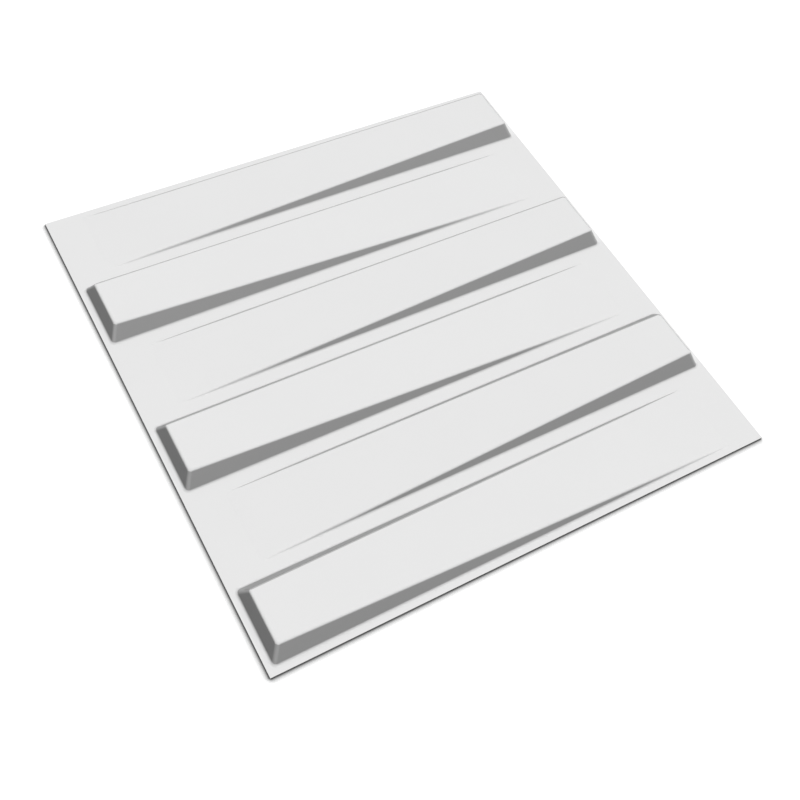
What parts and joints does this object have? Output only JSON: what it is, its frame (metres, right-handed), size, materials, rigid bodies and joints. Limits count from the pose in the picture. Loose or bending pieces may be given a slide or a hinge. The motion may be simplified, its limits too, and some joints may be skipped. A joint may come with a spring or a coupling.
{
  "type": "wall panel tile",
  "caption": "Square moulded wall panel tile with long tapering bars in relief that run out towards alternate edges.",
  "frame": {"origin": "centre of the square tile, on the plane of its flat back", "axes": "+Z out of the tile's face, +X along the bars, +Y across them from the near edge to the far edge"},
  "size_m": [0.5, 0.5, 0.0174],
  "materials": {
    "moulded_sheet": "plain white moulded sheet, matt with a faint sheen, ready to paint"
  },
  "bodies": {
    "root": {"wall_panel": "moulded_sheet"}
  },
  "joints": []
}
